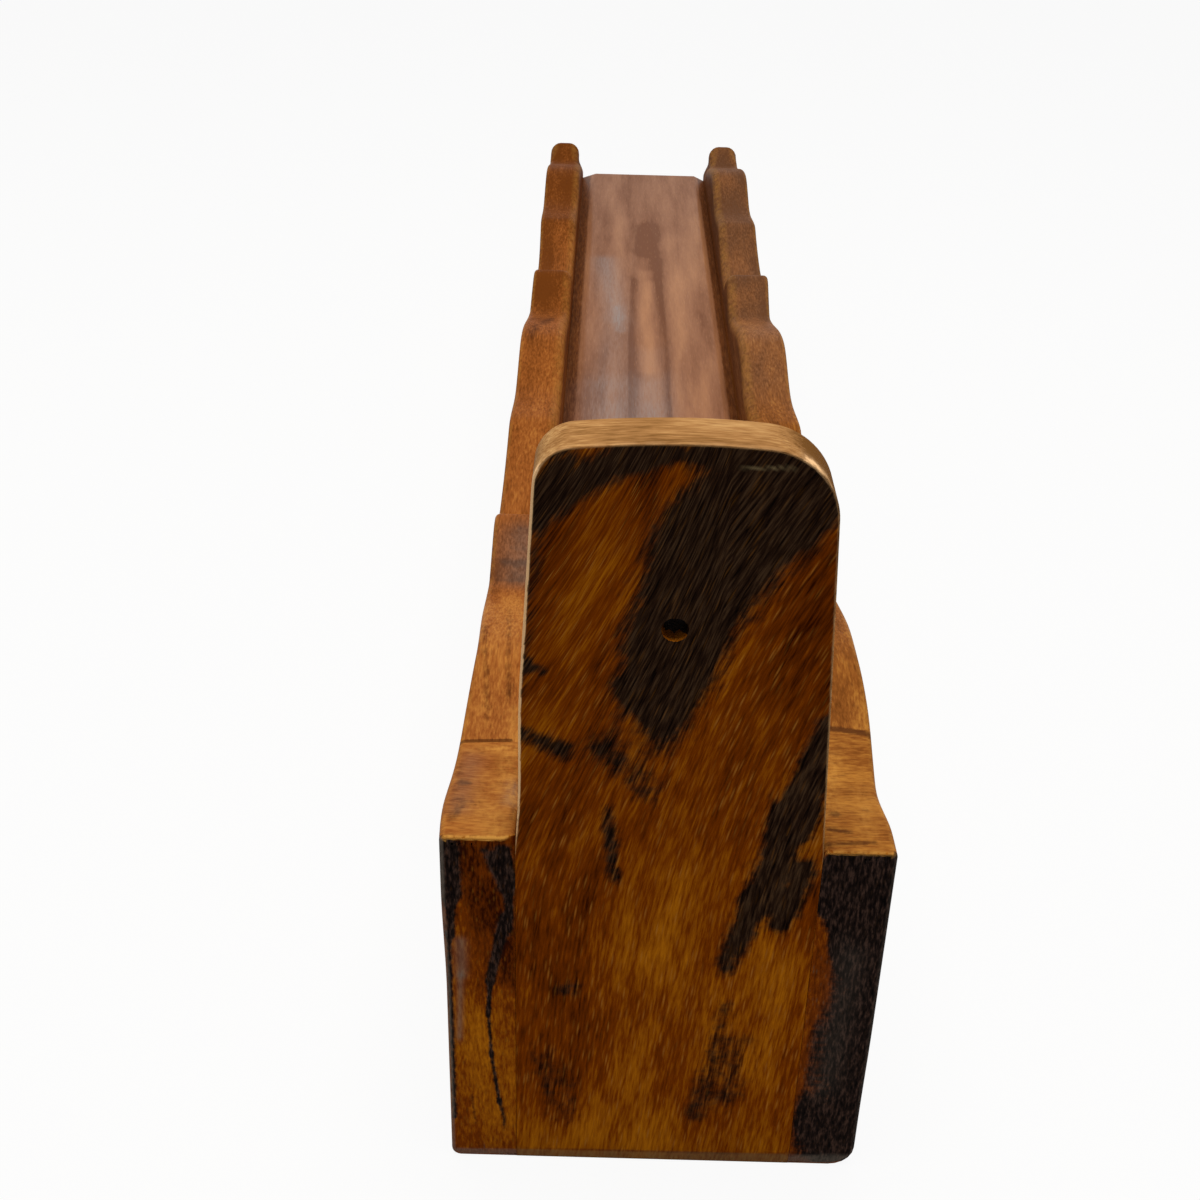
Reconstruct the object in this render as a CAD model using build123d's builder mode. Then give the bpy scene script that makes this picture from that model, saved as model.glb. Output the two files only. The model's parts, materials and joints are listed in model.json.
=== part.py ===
"""Incense stick holder: a long wooden ash tray between two scalloped side boards,
with a tall plate at one end that is drilled for the stick."""
import os
from math import ceil

from build123d import *

# Driving dimensions in millimetres. X runs across the holder, Y along it away from the plate, Z up.
# The origin is at the bottom, in the middle of the footprint.
overall_length = 305.0
overall_width = 50.8
board_thickness = 8.2
rim_height = 50.0

# Top edge of the side boards: one motif of nose, dip, lobe, step and cove, repeated along the length.
# A place is measured from the motif's nose, and a rise from the rim height.
motif_pitch = 115.0
nose_rise = 0.6
dip_at = 18.0
dip_rise = -1.2
lobe_at = 37.0
lobe_rise = 2.4
valley_at = 67.0
valley_rise = -3.8
valley_slope = -0.1
step_at = 77.5
step_rise = 0.4
step_flat = 3.0
cove_at = 86.0
cove_rise = -3.8
cove_exit_slope = 0.3

# End plate that holds the stick
plate_height = 99.8
plate_thickness = 6.6
plate_top_width = 29.2
plate_crown = 1.2
plate_left_radius = 4.5
plate_right_radius = 8.0
stick_hole_diameter = 2.8
stick_hole_height = 78.9
stick_hole_offset = -0.7

# Tray floor: a panel with bevelled edges, whose tongues sit in grooves in the side boards
tray_depth = 9.0
tray_bevel_width = 2.4
tray_bevel_depth = 1.2
tongue_thickness = 4.0
groove_depth = 3.0
tongue_end_gap = 0.2

# Shallow ash flute along the middle of the tray floor, cut by a round-nosed cutter on a long arc
flute_cutter_radius = 6.5
flute_depth = 1.6
flute_end_margin = 41.5
flute_run_out = 1.2

# Boards that close the hollow under the tray
tail_thickness = 8.0
base_thickness = 4.0
base_height = 3.0

# Worn bevel along the bottom of the front end
toe_bevel_height = 2.2
toe_bevel_depth = 0.5

# Steel panel pins through the side boards into the edges of the plate and the tail board
pin_diameter = 1.4
pin_length = 16.0
pin_set_depth = 0.3
pin_hole_clearance = 0.04
pin_tip_gap = 0.5
plate_pin_inset = 12.0
tail_pin_inset = 8.0

# Places that follow from the sizes above
front_y = -overall_length / 2
back_y = overall_length / 2
outer_half = overall_width / 2
inner_half = outer_half - board_thickness
plate_back_y = front_y + plate_thickness
tail_front_y = back_y - tail_thickness
hollow_length = back_y - plate_back_y
hollow_mid_y = (plate_back_y + back_y) / 2
tray_top = rim_height - tray_depth
tongue_top = tray_top - tray_bevel_depth
tray_bottom = tongue_top - tongue_thickness
base_top = base_height + base_thickness
field_half = inner_half - tray_bevel_width
panel_half = inner_half + groove_depth - tongue_end_gap
plate_pin_heights = (plate_pin_inset, rim_height - plate_pin_inset)
tail_pin_heights = (base_top + tail_pin_inset, tray_bottom - tail_pin_inset)
pin_hole_radius = (pin_diameter + pin_hole_clearance) / 2
pin_hole_length = pin_set_depth + pin_length + pin_tip_gap
standing = (Align.CENTER, Align.CENTER, Align.MIN)

os.makedirs("parts", exist_ok=True)


def pin_planes(y, heights, head_x):
    """Planes at the heads of the pins of one end, on both sides, each facing inwards."""
    return [
        Plane(origin=(side * head_x, y, z), x_dir=(0, 1, 0), z_dir=(-side, 0, 0))
        for side in (-1, 1)
        for z in heights
    ]


plate_pin_rows = (plate_back_y - plate_thickness / 2, plate_pin_heights)
tail_pin_rows = (back_y - tail_thickness / 2, tail_pin_heights)
pin_holes = pin_planes(*plate_pin_rows, outer_half) + pin_planes(*tail_pin_rows, outer_half)

# Right side board, drawn from the side: the motif runs past the end and is cut to length there
with BuildPart() as right_side_board:
    with BuildSketch(Plane.YZ.offset(inner_half)):
        motif_count = ceil(overall_length / motif_pitch)
        run_out_y = front_y + motif_count * motif_pitch
        nose_top = rim_height + nose_rise
        with BuildLine():
            for k in range(motif_count):
                start = front_y + k * motif_pitch
                valley = (start + valley_at, rim_height + valley_rise)
                cove = (start + cove_at, rim_height + cove_rise)
                Spline(
                    (start, nose_top),
                    (start + dip_at, rim_height + dip_rise),
                    (start + lobe_at, rim_height + lobe_rise),
                    valley,
                    tangents=((1, 0), (1, valley_slope)),
                )
                Polyline(
                    valley,
                    (start + step_at, rim_height + step_rise),
                    (start + step_at + step_flat, rim_height + step_rise),
                    cove,
                )
                Spline(cove, (start + motif_pitch, nose_top), tangents=((1, 0), (1, cove_exit_slope)))
            Polyline(
                (run_out_y, nose_top),
                (run_out_y, 0),
                (front_y + toe_bevel_depth, 0),
                (front_y, toe_bevel_height),
                (front_y, nose_top),
            )
        make_face()
        with Locations((0, rim_height)):
            Rectangle(overall_length, 2 * rim_height, mode=Mode.INTERSECT)
    extrude(amount=board_thickness)
    # grooves for the tray floor and the base panel, stopped behind the plate
    for low, high in ((tray_bottom, tongue_top), (base_height, base_top)):
        with BuildSketch(Plane.YZ.offset(inner_half)):
            with Locations((hollow_mid_y, (low + high) / 2)):
                Rectangle(hollow_length, high - low)
        extrude(amount=groove_depth, mode=Mode.SUBTRACT)
    with Locations(*pin_holes):
        Cylinder(pin_hole_radius, pin_hole_length, align=standing, mode=Mode.SUBTRACT)
right_side_board.part.label = "right_side_board"
export_step(right_side_board.part, "parts/right_side_board.step")

# Left side board, the right one's mirror image
with BuildPart() as left_side_board:
    mirror(right_side_board.part, about=Plane.YZ)
left_side_board.part.label = "left_side_board"
export_step(left_side_board.part, "parts/left_side_board.step")

# Plate, drawn from the front: straight between the boards, tapering above them to a crowned top
with BuildPart() as stick_plate:
    with BuildSketch(Plane.XZ.offset(-plate_back_y)):
        shoulder = plate_height - plate_crown
        top_half = plate_top_width / 2
        with BuildLine():
            Polyline(
                (-top_half, shoulder),
                (-inner_half, rim_height),
                (-inner_half, 0),
                (inner_half, 0),
                (inner_half, rim_height),
                (top_half, shoulder),
            )
            ThreePointArc((top_half, shoulder), (0, plate_height), (-top_half, shoulder))
        make_face()
        for corner_x, radius in ((-top_half, plate_left_radius), (top_half, plate_right_radius)):
            fillet(vertices().sort_by_distance((corner_x, shoulder))[0], radius)
        with Locations((stick_hole_offset, stick_hole_height)):
            Circle(stick_hole_diameter / 2, mode=Mode.SUBTRACT)
    extrude(amount=plate_thickness)
    front_face = faces().sort_by(Axis.Y)[0]
    toe_edge = front_face.edges().sort_by(Axis.Z)[0]
    chamfer(toe_edge, toe_bevel_height, toe_bevel_depth, reference=front_face)
    with Locations(*pin_holes):
        Cylinder(pin_hole_radius, pin_hole_length, align=standing, mode=Mode.SUBTRACT)
stick_plate.part.label = "stick_plate"
export_step(stick_plate.part, "parts/stick_plate.step")

# Tray floor, drawn in section: a flat field, bevels down to the boards, and a tongue on each side
with BuildPart() as tray_floor:
    with BuildSketch(Plane.XZ.offset(-back_y)):
        with BuildLine():
            right_edge = Polyline(
                (0, tray_top),
                (field_half, tray_top),
                (inner_half, tongue_top),
                (panel_half, tongue_top),
                (panel_half, tray_bottom),
                (0, tray_bottom),
            )
            mirror(right_edge, about=Plane.YZ)
        make_face()
    extrude(amount=hollow_length)
    # the cutter's centre follows an arc that lifts it out of the wood at both ends
    flute_half = hollow_length / 2 - flute_end_margin
    cutter_reach = flute_half * flute_run_out
    cutter_low = tray_top - flute_depth + flute_cutter_radius
    cutter_high = cutter_low + flute_depth * flute_run_out**2
    with BuildLine(Plane.YZ) as cutter_path:
        ThreePointArc(
            (hollow_mid_y - cutter_reach, cutter_high),
            (hollow_mid_y, cutter_low),
            (hollow_mid_y + cutter_reach, cutter_high),
        )
    with BuildSketch(Plane(origin=cutter_path.line @ 0, z_dir=cutter_path.line % 0)):
        Circle(flute_cutter_radius)
    sweep(path=cutter_path.line, mode=Mode.SUBTRACT)
tray_floor.part.label = "tray_floor"
export_step(tray_floor.part, "parts/tray_floor.step")

# Base panel in the lower grooves
with BuildPart() as base_panel:
    with BuildSketch(Plane.XY.offset(base_height)):
        with Locations((0, hollow_mid_y)):
            Rectangle(2 * panel_half, hollow_length)
    extrude(amount=base_thickness)
base_panel.part.label = "base_panel"
export_step(base_panel.part, "parts/base_panel.step")

# Tail board, standing on the base panel and closing the hollow under the tray floor
with BuildPart() as tail_board:
    with BuildSketch(Plane.XY.offset(base_top)):
        with Locations((0, (tail_front_y + back_y) / 2)):
            Rectangle(2 * inner_half, tail_thickness)
    extrude(amount=tray_bottom - base_top)
    with Locations(*pin_holes):
        Cylinder(pin_hole_radius, pin_hole_length, align=standing, mode=Mode.SUBTRACT)
tail_board.part.label = "tail_board"
export_step(tail_board.part, "parts/tail_board.step")

# Pins of both ends, punched a little below the outside of the boards
pin_head_x = outer_half - pin_set_depth
with BuildPart() as plate_pins:
    with Locations(*pin_planes(*plate_pin_rows, pin_head_x)):
        Cylinder(pin_diameter / 2, pin_length, align=standing)
plate_pins.part.label = "plate_pins"
export_step(plate_pins.part, "parts/plate_pins.step")

with BuildPart() as tail_pins:
    with Locations(*pin_planes(*tail_pin_rows, pin_head_x)):
        Cylinder(pin_diameter / 2, pin_length, align=standing)
tail_pins.part.label = "tail_pins"
export_step(tail_pins.part, "parts/tail_pins.step")
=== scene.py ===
"""Looks of the incense stick holder: hand-sanded sheesham boards, plate and tray on a pale studio floor."""
import json

import bpy
import numpy as np
from mathutils import Matrix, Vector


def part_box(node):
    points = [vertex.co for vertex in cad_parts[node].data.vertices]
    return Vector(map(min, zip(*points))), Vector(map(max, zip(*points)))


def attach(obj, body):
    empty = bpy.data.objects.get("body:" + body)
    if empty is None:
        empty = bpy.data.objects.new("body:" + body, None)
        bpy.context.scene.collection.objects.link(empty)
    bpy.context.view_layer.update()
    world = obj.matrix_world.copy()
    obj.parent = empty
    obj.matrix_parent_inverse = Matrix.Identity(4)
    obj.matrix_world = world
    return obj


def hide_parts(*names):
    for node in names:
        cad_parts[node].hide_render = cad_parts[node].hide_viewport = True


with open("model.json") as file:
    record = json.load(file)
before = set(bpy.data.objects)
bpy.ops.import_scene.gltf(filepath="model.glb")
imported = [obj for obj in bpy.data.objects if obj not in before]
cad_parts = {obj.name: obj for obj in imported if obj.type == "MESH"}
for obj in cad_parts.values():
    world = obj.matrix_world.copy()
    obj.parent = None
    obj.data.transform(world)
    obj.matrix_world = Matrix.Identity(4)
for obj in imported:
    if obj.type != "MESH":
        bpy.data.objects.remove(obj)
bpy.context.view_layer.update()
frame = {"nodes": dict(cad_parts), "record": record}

# Lengths are millimetres in the holder's frame until a finished mesh is scaled to metres.
MM = 0.001


def node_box(node):
    """Lowest and highest corner of a CAD node in millimetres."""
    return [np.array(corner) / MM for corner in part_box(node)]


# Sizes and places of the solids
board_low, board_high = node_box("right_side_board")
tray_low, tray_high = node_box("tray_floor")
plate_back_y, plate_height = node_box("stick_plate")[1][1:]
base_bottom, base_top = (corner[2] for corner in node_box("base_panel"))
pin_boxes = [node_box("plate_pins"), node_box("tail_pins")]
front_y, back_y = board_low[1], board_high[1]
board_length = back_y - front_y
inner_half, outer_half = board_low[0], board_high[0]
plate_thickness = plate_back_y - front_y
tray_top, tray_bottom, panel_half = tray_high[2], tray_low[2], tray_high[0]
stick_hole = next(mount for mount in frame["record"]["mounts"] if mount["name"] == "stick_hole")
hole_x, hole_z = stick_hole["pos_m"][0] / MM, stick_hole["pos_m"][2] / MM
hole_radius = stick_hole["dims"]["r_mm"]
pin_radius = (pin_boxes[0][1][1] - pin_boxes[0][0][1]) / 2
pin_head_x = pin_boxes[0][1][0]
pin_places = [
    ((low[1] + high[1]) / 2, height)
    for low, high in pin_boxes
    for height in (low[2] + pin_radius, high[2] - pin_radius)
]

# Top edge of the boards: places from the motif's nose, rises from the rim, as in the solids
rim_height = 50.0
motif_pitch = 115.0
nose_rise = 0.6
dip = (18.0, -1.2)
lobe = (37.0, 2.4)
valley = (67.0, -3.8)
step = (77.5, 0.4)
step_end = (80.5, 0.4)
cove = (86.0, -3.8)
valley_slope = -0.1
cove_exit_slope = 0.3
sanded_corner = 0.8

# Plate above the boards, tray floor and grooves, as in the solids
plate_top_width = 29.2
plate_crown = 1.2
plate_left_radius = 4.5
plate_right_radius = 8.0
tray_bevel_width = 2.4
tray_bevel_depth = 1.2
tongue_top = tray_top - tray_bevel_depth
flute_cutter_radius = 6.5
flute_depth = 1.6
flute_end_margin = 41.5
groove_depth = 3.0
pin_hole_clearance = 0.04

# Edges eased by hand with sandpaper: radii, and the rises from the rim between which the plate's edges
# turn from sharp, in the joint with the boards, to eased. Then the worn bevel along the bottom of the
# front.
board_arris = 0.8
end_arris = 0.45
tip_arris = 0.8
tip_round = 2.0
inner_round = 1.3
plate_front_arris = 0.15
plate_back_arris = 0.4
joint_arris = 0.05
joint_fade = (-1.0, 2.0)
tray_front_arris = 0.2
toe_height_left = 1.7
toe_height_right = 2.4
toe_depth = 0.3

# Hand-made differences of the boards from the solids. The nose may be lifted and its inner corner rounded,
# the foot of the front is rounded, and behind the plate the inner face stands closer to the middle.
# Outside, an even hollow runs along the board, and swells stand on it: size, place along the board and half
# width of each, and the heights between which it grows from nothing to its full size.
FROM_BOTTOM = (-2.0, -1.0)
LOWER_HALF = (8.0, 24.0)
UPPER_HALF = (28.0, 44.0)
LEFT_SHAPE = {
    "nose_lift": 0.7,
    "nose_corner": 1.7,
    "foot_round": 0.4,
    "inner_swell": 0.7,
    "hollow": 0.35,
    "swells": [
        (0.65, 8.0, 9.0, UPPER_HALF),
        (-0.55, 38.0, 12.0, FROM_BOTTOM),
        (-0.6, 208.0, 22.0, FROM_BOTTOM),
    ],
}
RIGHT_SHAPE = {
    "nose_lift": 0.0,
    "nose_corner": 0.0,
    "foot_round": 2.3,
    "inner_swell": 0.5,
    "hollow": 0.0,
    "swells": [
        (0.12, 0.0, 8.0, LOWER_HALF),
        (0.12, 6.0, 3.0, FROM_BOTTOM),
        (-0.25, 13.5, 4.0, FROM_BOTTOM),
        (0.35, 27.0, 8.0, FROM_BOTTOM),
        (0.4, 56.0, 14.0, FROM_BOTTOM),
        (0.45, 56.0, 14.0, UPPER_HALF),
        (0.2, 196.0, 9.0, FROM_BOTTOM),
    ],
}
hollow_start = (15.0, 40.0)
hollow_stop = (302.0, 285.0)

# Hand-made differences of the plate and the tray: the plate is wider at its upper left, within these
# heights and places across, and the tray's bevels are wider, the left one more so.
plate_left_spread = 0.65
spread_heights = (54.0, 72.0)
spread_across = (-3.0, -11.0)
tray_left_bevel = 3.5
tray_right_bevel = 2.6

# How far the boards' forms reach: the foot's rounding and the nose's lift from the front, the tip's
# rounding and taper from the far end, the taper also up from the tray, and the nose's corner down from
# the top. The front edge is sharper by a share inside, beside the plate, and as much rounder outside.
# A dimple lies a little below the head of its pin and has a narrow edge.
foot_reach = 10.0
nose_lift_reach = 10.0
tip_round_reach = (9.0, 1.0)
tip_taper = 1.2
tip_taper_reach = (13.0, 6.0)
tip_taper_rise = 4.0
nose_corner_fade = (3.0, 0.5)
joint_sharpness = 0.85
dimple_depth = 0.05
dimple_edge = (0.06, -0.02)

# Grids of the surfaces: points along each stretch, where rows crowd, how far the seam of an end is
# mitred, and the digits to which places are rounded and points are welded
quarter = np.linspace(0.0, np.pi / 2, 6)
weld_digits = 4
front_end_steps = 25
far_end_steps = 7
seam_steps = 20
seam_top_steps = 8
end_mitre = 0.5
board_rows = 250
board_margins = (0.7, 1.0)
station_digits = 3
nose_rows = 10
nose_rows_reach = 3.0
crease_rows = 11
crease_reach = 0.8
joint_step = 0.01
pin_rim_points = 13
pin_rim_reach = 1.7
side_top = tray_top + 2.0
groove_lip = 0.06
board_side_points = 56
board_hidden_points = 40
board_foot_points = 6
board_rise_points = 12
board_across_points = 17
plate_foot_points = 56
plate_taper_points = 48
plate_right_arc_points = 20
plate_left_arc_points = 16
plate_crown_points = 30
plate_sole_points = 44
plate_front_rows = 64
plate_row_crowding = 0.9
plate_edge_rows = 9
plate_edge_band = (0.96, 0.998)
plate_side_rows = 9
plate_back_rows = 40
hole_rows = 22
tray_rows = 420
tray_margins = (0.6, 1.4)
tray_field_points = 91
tray_tongue_points = 4
tray_bevel_points = 7
tray_under_points = 30


def smooth_step(low, high, x):
    """Eases from 0 at low to 1 at high along a cubic."""
    t = np.clip((x - low) / (high - low), 0.0, 1.0)
    return t * t * (3.0 - 2.0 * t)


def hump(x, middle, half_width):
    """Bell curve of height 1 about the middle."""
    return np.exp(-(((x - middle) / half_width) ** 2))


def stacked(*parts):
    """The parts side by side along a new last axis, after they are brought to one shape."""
    return np.stack(np.broadcast_arrays(*parts), axis=-1)


def strokes(a, b, rows):
    """Soft brush strokes on a plane: each row runs from (a0, b0) to (a1, b1), and its strength falls off
    with the distance from that line over its half width, along a bell curve. Strokes add up."""
    field = np.zeros(np.broadcast(a, b).shape)
    for a0, b0, a1, b1, half_width, strength in rows:
        da, db = a1 - a0, b1 - b0
        along = np.clip(((a - a0) * da + (b - b0) * db) / (da * da + db * db), 0.0, 1.0)
        distance = np.hypot(a - a0 - along * da, b - b0 - along * db)
        field += strength * hump(distance, 0.0, half_width)
    return field


def skin(name, points, fields, wrap_rows=False):
    """Closed mesh over a grid of points in millimetres, (rows, columns, 3), whose columns wrap round. Equal
    points are welded, so a row that shrinks to a seam closes an end. Each field becomes an attribute of the
    points."""
    flat = points.reshape(-1, 3)
    _, first, weld = np.unique(np.round(flat, weld_digits), axis=0, return_index=True, return_inverse=True)
    index = weld.reshape(points.shape[:2])
    if wrap_rows:
        index = np.vstack([index, index[:1]])
    beside = np.roll(index, -1, axis=1)
    quads = np.stack([index[:-1], index[1:], beside[1:], beside[:-1]], axis=-1).reshape(-1, 4)
    repeated = quads == np.roll(quads, -1, axis=1)
    count = repeated.sum(axis=1)
    corners = quads[count == 1]
    triangles = corners[~repeated[count == 1]].reshape(-1, 3)
    mesh = bpy.data.meshes.new(name)
    mesh.from_pydata((flat[first] * MM).tolist(), [], quads[count == 0].tolist() + triangles.tolist())
    for key, values in fields.items():
        kind, slot = ("FLOAT_VECTOR", "vector") if values.ndim == 3 else ("FLOAT", "value")
        attribute = mesh.attributes.new(key, kind, "POINT")
        width = values.shape[2] if values.ndim == 3 else 1
        attribute.data.foreach_set(slot, values.reshape(-1, width)[first].ravel().astype(np.float32))
    mesh.polygons.foreach_set("use_smooth", np.ones(len(mesh.polygons), bool))
    mesh.validate()
    piece = bpy.data.objects.new(name, mesh)
    bpy.context.scene.collection.objects.link(piece)
    return piece


def toe(x, z):
    """How far the worn bevel sets the front back: from nothing at its top edge, which rises from left to
    right, straight down to its full depth at the bottom."""
    height = np.interp(x, (-outer_half, outer_half), (toe_height_left, toe_height_right))
    return toe_depth * np.clip(1.0 - z / height, 0.0, 1.0)


def top_edge(y):
    """Height of a board's top over the distance y from the front: a repeating motif of cubic stretches,
    each set by the places and slopes of its two ends, averaged over a short length as sandpaper does to the
    corners."""
    points = np.array([(0.0, nose_rise), dip, lobe, valley, step, step_end, cove, (motif_pitch, nose_rise)])
    at, rise = points[:, 0], points[:, 1]
    dip_slope = (lobe[1] - nose_rise) / lobe[0]
    lobe_slope = (valley[1] - dip[1]) / (valley[0] - dip[0])
    stretches = ((valley, step), (step, step_end), (step_end, cove))
    straight = [(b[1] - a[1]) / (b[0] - a[0]) for a, b in stretches]
    leaving = np.array([0.0, dip_slope, lobe_slope, *straight, 0.0])
    arriving = np.array([dip_slope, lobe_slope, valley_slope, *straight, cove_exit_slope])
    height = np.zeros_like(y)
    shifts = (-sanded_corner, 0.0, sanded_corner)
    for shift in shifts:
        place = np.clip(y + shift, 0.0, None) % motif_pitch
        k = np.clip(np.searchsorted(at, place, side="right") - 1, 0, len(at) - 2)
        span = at[k + 1] - at[k]
        t = (place - at[k]) / span
        height += (2 * t**3 - 3 * t**2 + 1) * rise[k] + (t**3 - 2 * t**2 + t) * span * leaving[k]
        height += (3 * t**2 - 2 * t**3) * rise[k + 1] + (t**3 - t**2) * span * arriving[k]
    return rim_height + height / len(shifts)


def outer_swell(shape, y, z):
    """How far a board's outer face stands proud: bell-shaped swells along the board, each growing over a
    stretch of heights, less an even hollow that fades out at the nose and the far end."""
    swell = -shape["hollow"] * smooth_step(*hollow_start, y) * smooth_step(*hollow_stop, y)
    for size, place, half_width, heights in shape["swells"]:
        swell = swell + size * hump(y, place, half_width) * smooth_step(*heights, z)
    return swell


def around(centre):
    """Close-set places about a pin's centre, for the rim of its hole."""
    return centre + np.linspace(-pin_rim_reach, pin_rim_reach, pin_rim_points) * pin_radius


def board_section():
    """Section of a board, once round from the bottom of the outer side. Each point has its place across,
    from -1 to 1 between the corner centres, a base height and its share of the way from there to the top
    corner centres, the direction in which it faces, and whether it lies at the bottom of a groove."""
    near_pins = [around(height) for _, height in pin_places]
    outer_z = np.unique(np.concatenate([np.linspace(board_arris, side_top, board_side_points), *near_pins]))
    grooves = []
    for high_z, low_z in ((tongue_top, tray_bottom), (base_top, base_bottom)):
        above, below = high_z + groove_lip, low_z - groove_lip
        grooves += [(above, 0), (high_z, 0), (high_z, 1), (low_z, 1), (low_z, 0), (below, 0)]
        if low_z == tray_bottom:
            hidden = np.linspace(below, base_top + groove_lip, board_hidden_points)
            grooves += [(height, 0) for height in hidden[1:-1]]
    foot = np.linspace(base_bottom - groove_lip, board_arris, board_foot_points)
    grooves += [(height, 0) for height in foot[1:]]
    groove_z, groove_in = np.array(grooves).T
    rise = np.linspace(0.0, 1.0, board_rise_points)
    across = np.linspace(1.0, -1.0, board_across_points)
    turn = quarter[1:-1]

    def run(place, base, share, face_x, face_z, notch=0.0):
        """One stretch of the section."""
        return stacked(place, base, share, face_x, face_z, notch).reshape(-1, 6)

    runs = [
        run(1.0, outer_z, 0.0, 1.0, 0.0),
        run(1.0, side_top, rise[1:], 1.0, 0.0),
        run(1.0, side_top, 1.0, np.cos(turn), np.sin(turn)),
        run(across, side_top, 1.0, 0.0, 1.0),
        run(-1.0, side_top, 1.0, -np.sin(turn), np.cos(turn)),
        run(-1.0, tongue_top + groove_lip, rise[:0:-1], -1.0, 0.0),
        run(-1.0, groove_z, 0.0, -1.0, 0.0, groove_in),
        run(-1.0, board_arris, 0.0, -np.cos(turn), -np.sin(turn)),
        run(-across, board_arris, 0.0, 0.0, -1.0),
        run(1.0, board_arris, 0.0, np.sin(turn), -np.cos(turn)),
    ]
    return np.concatenate(runs).T


def end_rows(arris, steps):
    """Rows that close an end: the section grows from a seam in the middle to its full width on the flat
    end, and then rounds the edge. Gives the share of the width, the inset and the setback of each row."""
    share = np.concatenate([np.linspace(0.0, 1.0, steps), np.ones(len(quarter) - 1)])
    inset = np.concatenate([np.full(steps, arris), arris * (1.0 - np.sin(quarter[1:]))])
    setback = np.concatenate([np.zeros(steps), arris * (1.0 - np.cos(quarter[1:]))])
    return share, inset, setback


def nearest(levels, values):
    """The level that lies nearest to each value."""
    return levels[np.abs(values[:, None] - levels).argmin(axis=1)]


def seam_heights(z):
    """Heights of an end's seam, moved to levels that both sides of the board share, so that they can be
    welded."""
    low = [z.min(), base_bottom]
    hidden = np.linspace(base_top, tray_bottom, seam_steps)
    high = np.linspace(tongue_top, z.max(), seam_top_steps)
    return nearest(np.concatenate([low, hidden, high]), z)


# Looks of the boards: how far below the rim the tops' marks fade out, where the tops darken towards the
# far end, places and half widths of the painted highlight along the front top edge and of the painted
# reflection on the outer front edge, what counts as facing sideways, up or out, and how much shorter the
# grain's streaks are on the ends and across the nose
top_marks_fade = (11.0, 5.0)
far_darkening = 0.08
far_darkening_reach = (60.0, 260.0)
lip_place = (0.15, 0.22)
lip_facing = (0.3, 1.0)
rub_facing = (0.5, 1.0)
outer_edge_reflection_place = (0.2, 0.35)
edge_wear = 0.5
board_sole_fade = (0.1, 0.4)
sideways = 0.5
upwards = 0.5
outwards = 0.6
end_grain_stretch = 2.5
cross_grain_stretch = 2.0


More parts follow.
